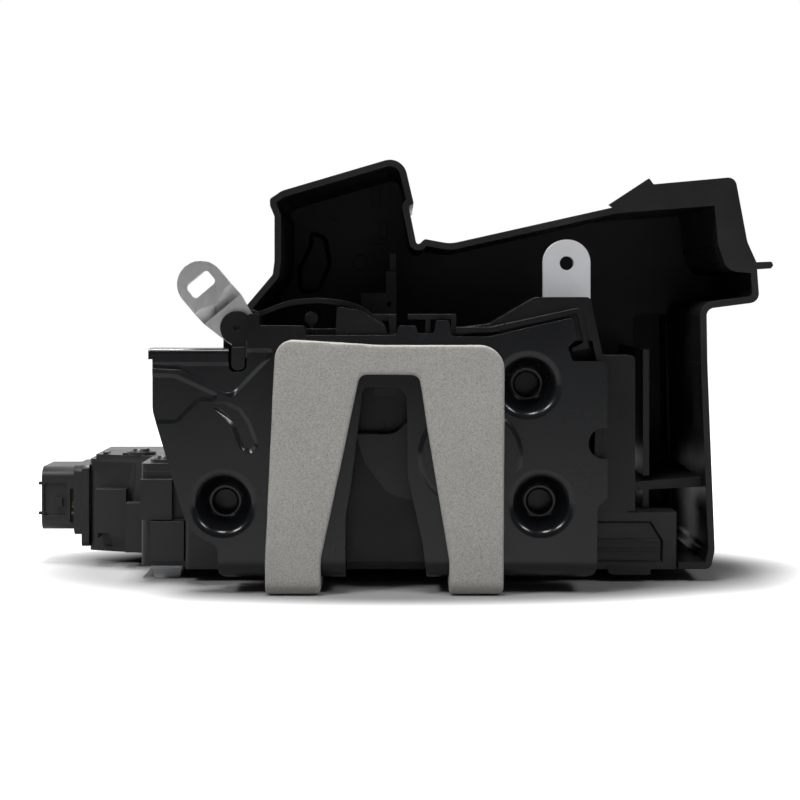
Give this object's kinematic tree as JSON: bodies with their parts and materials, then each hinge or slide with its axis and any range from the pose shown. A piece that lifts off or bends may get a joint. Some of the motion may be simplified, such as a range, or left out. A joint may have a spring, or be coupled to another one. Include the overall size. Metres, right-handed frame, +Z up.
{
  "type": "door latch actuator",
  "caption": "Vehicle door latch with a black face plate, foam seal, striker throat, release and lock levers, powered lock housing, plug socket and plastic shroud.",
  "frame": {"origin": "striker seat at the top of the throat, on the front of the face plate", "axes": "+X along the face plate, +Y into the door, +Z up as the latch stands on a bench"},
  "size_m": [0.1756, 0.0942, 0.0972],
  "materials": {
    "plate_paint": "satin black coat on pressed steel",
    "foam": "matte closed-cell foam",
    "case_plastic": "moulded, fine grain",
    "housing_plastic": "moulded, fine grain",
    "connector_plastic": "moulded",
    "shroud_plastic": "moulded, satin",
    "mould_plastic": "moulded",
    "zinc_plate": "zinc plated",
    "zinc_lever": "zinc plated, satin",
    "hard_steel": "ground",
    "pin_steel": "turned",
    "spring_wire": "drawn wire",
    "motor_can": "plated can",
    "terminal_metal": "tinned brass",
    "screw_steel": "black zinc",
    "bumper_rubber": "matte",
    "white_nylon": "natural nylon",
    "gear_nylon": "natural acetal"
  },
  "bodies": {
    "base": {"face_plate": "plate_paint", "foam_seal": "foam", "latch_case": "case_plastic", "back_plate": "zinc_plate", "claw_pin": "pin_steel", "pawl_pin": "pin_steel", "claw_spring": "spring_wire", "pawl_spring": "spring_wire", "striker_bumper": "bumper_rubber", "pivot_cap": "case_plastic", "outside_lever_pin": "pin_steel", "lock_lever_pin": "pin_steel", "actuator_housing": "housing_plastic", "actuator_cover": "housing_plastic", "lock_motor": "motor_can", "wheel_pin": "pin_steel", "connector_shell": "connector_plastic", "connector_terminals": "terminal_metal", "lead_frame": "mould_plastic", "claw_switch": "mould_plastic", "lock_switch": "mould_plastic", "cover_screws": "screw_steel", "inside_lever_pin": "pin_steel", "shroud": "shroud_plastic", "shroud_bracket": "shroud_plastic", "foot_clip": "white_nylon"},
    "claw": {"claw": "hard_steel", "claw_overmould": "mould_plastic"},
    "pawl": {"pawl": "hard_steel"},
    "outside_lever": {"outside_release_lever": "zinc_lever"},
    "release_lever": {"release_lever": "zinc_lever"},
    "worm_wheel": {"worm_wheel": "gear_nylon"},
    "worm": {"worm": "terminal_metal"},
    "lock_slider": {"lock_slider": "gear_nylon"},
    "lock_lever": {"lock_lever": "white_nylon"},
    "inside_lever": {"inside_release_lever": "zinc_lever"}
  },
  "joints": [
    {"name": "claw_turn", "type": "hinge", "parent": "base", "child": "claw", "pos_m": [0.0189, 0.007, -0.0097], "axis": [0, -1, 0], "range_deg": [0, 72]},
    {"name": "pawl_turn", "type": "hinge", "parent": "base", "child": "pawl", "pos_m": [-0.0175, 0.007, -0.006], "axis": [0, -1, 0], "range_deg": [-11, 4]},
    {"name": "outside_lever_turn", "type": "hinge", "parent": "base", "child": "outside_lever", "pos_m": [-0.0327, 0.0058, 0.0185], "axis": [0, -1, 0], "range_deg": [0, 22]},
    {"name": "release_lever_turn", "type": "hinge", "parent": "base", "child": "release_lever", "pos_m": [-0.0175, 0.0035, -0.006], "axis": [0, -1, 0], "range_deg": [-11, 0]},
    {"name": "worm_wheel_turn", "type": "hinge", "parent": "base", "child": "worm_wheel", "pos_m": [-0.015, 0.045, -0.024], "axis": [0, 0, 1], "range_deg": [-39, 39]},
    {"name": "worm_spin", "type": "hinge", "parent": "base", "child": "worm", "pos_m": [-0.015, 0.06215, -0.024], "axis": [1, 0, 0], "range_deg": [-1330, 1330]},
    {"name": "lock_slider_slide", "type": "slide", "parent": "base", "child": "lock_slider", "axis": [1, 0, 0], "range_m": [-0.0031, 0.0031]},
    {"name": "lock_lever_turn", "type": "hinge", "parent": "base", "child": "lock_lever", "pos_m": [0.0414, 0.0165, 0.006], "axis": [0, -1, 0], "range_deg": [-12.2, 12.2]},
    {"name": "inside_lever_turn", "type": "hinge", "parent": "base", "child": "inside_lever", "pos_m": [-0.047, 0.062, -0.01], "axis": [0, 0, 1], "range_deg": [-25, 0]}
  ],
  "couplings": [
    {"joint": "release_lever_turn", "follows": "outside_lever_turn", "ratio": -0.5},
    {"joint": "worm_spin", "follows": "worm_wheel_turn", "ratio": 34},
    {"joint": "lock_slider_slide", "follows": "worm_wheel_turn", "m_per_rad": 0.0045},
    {"joint": "lock_lever_turn", "follows": "worm_wheel_turn", "ratio": 0.3077}
  ]
}
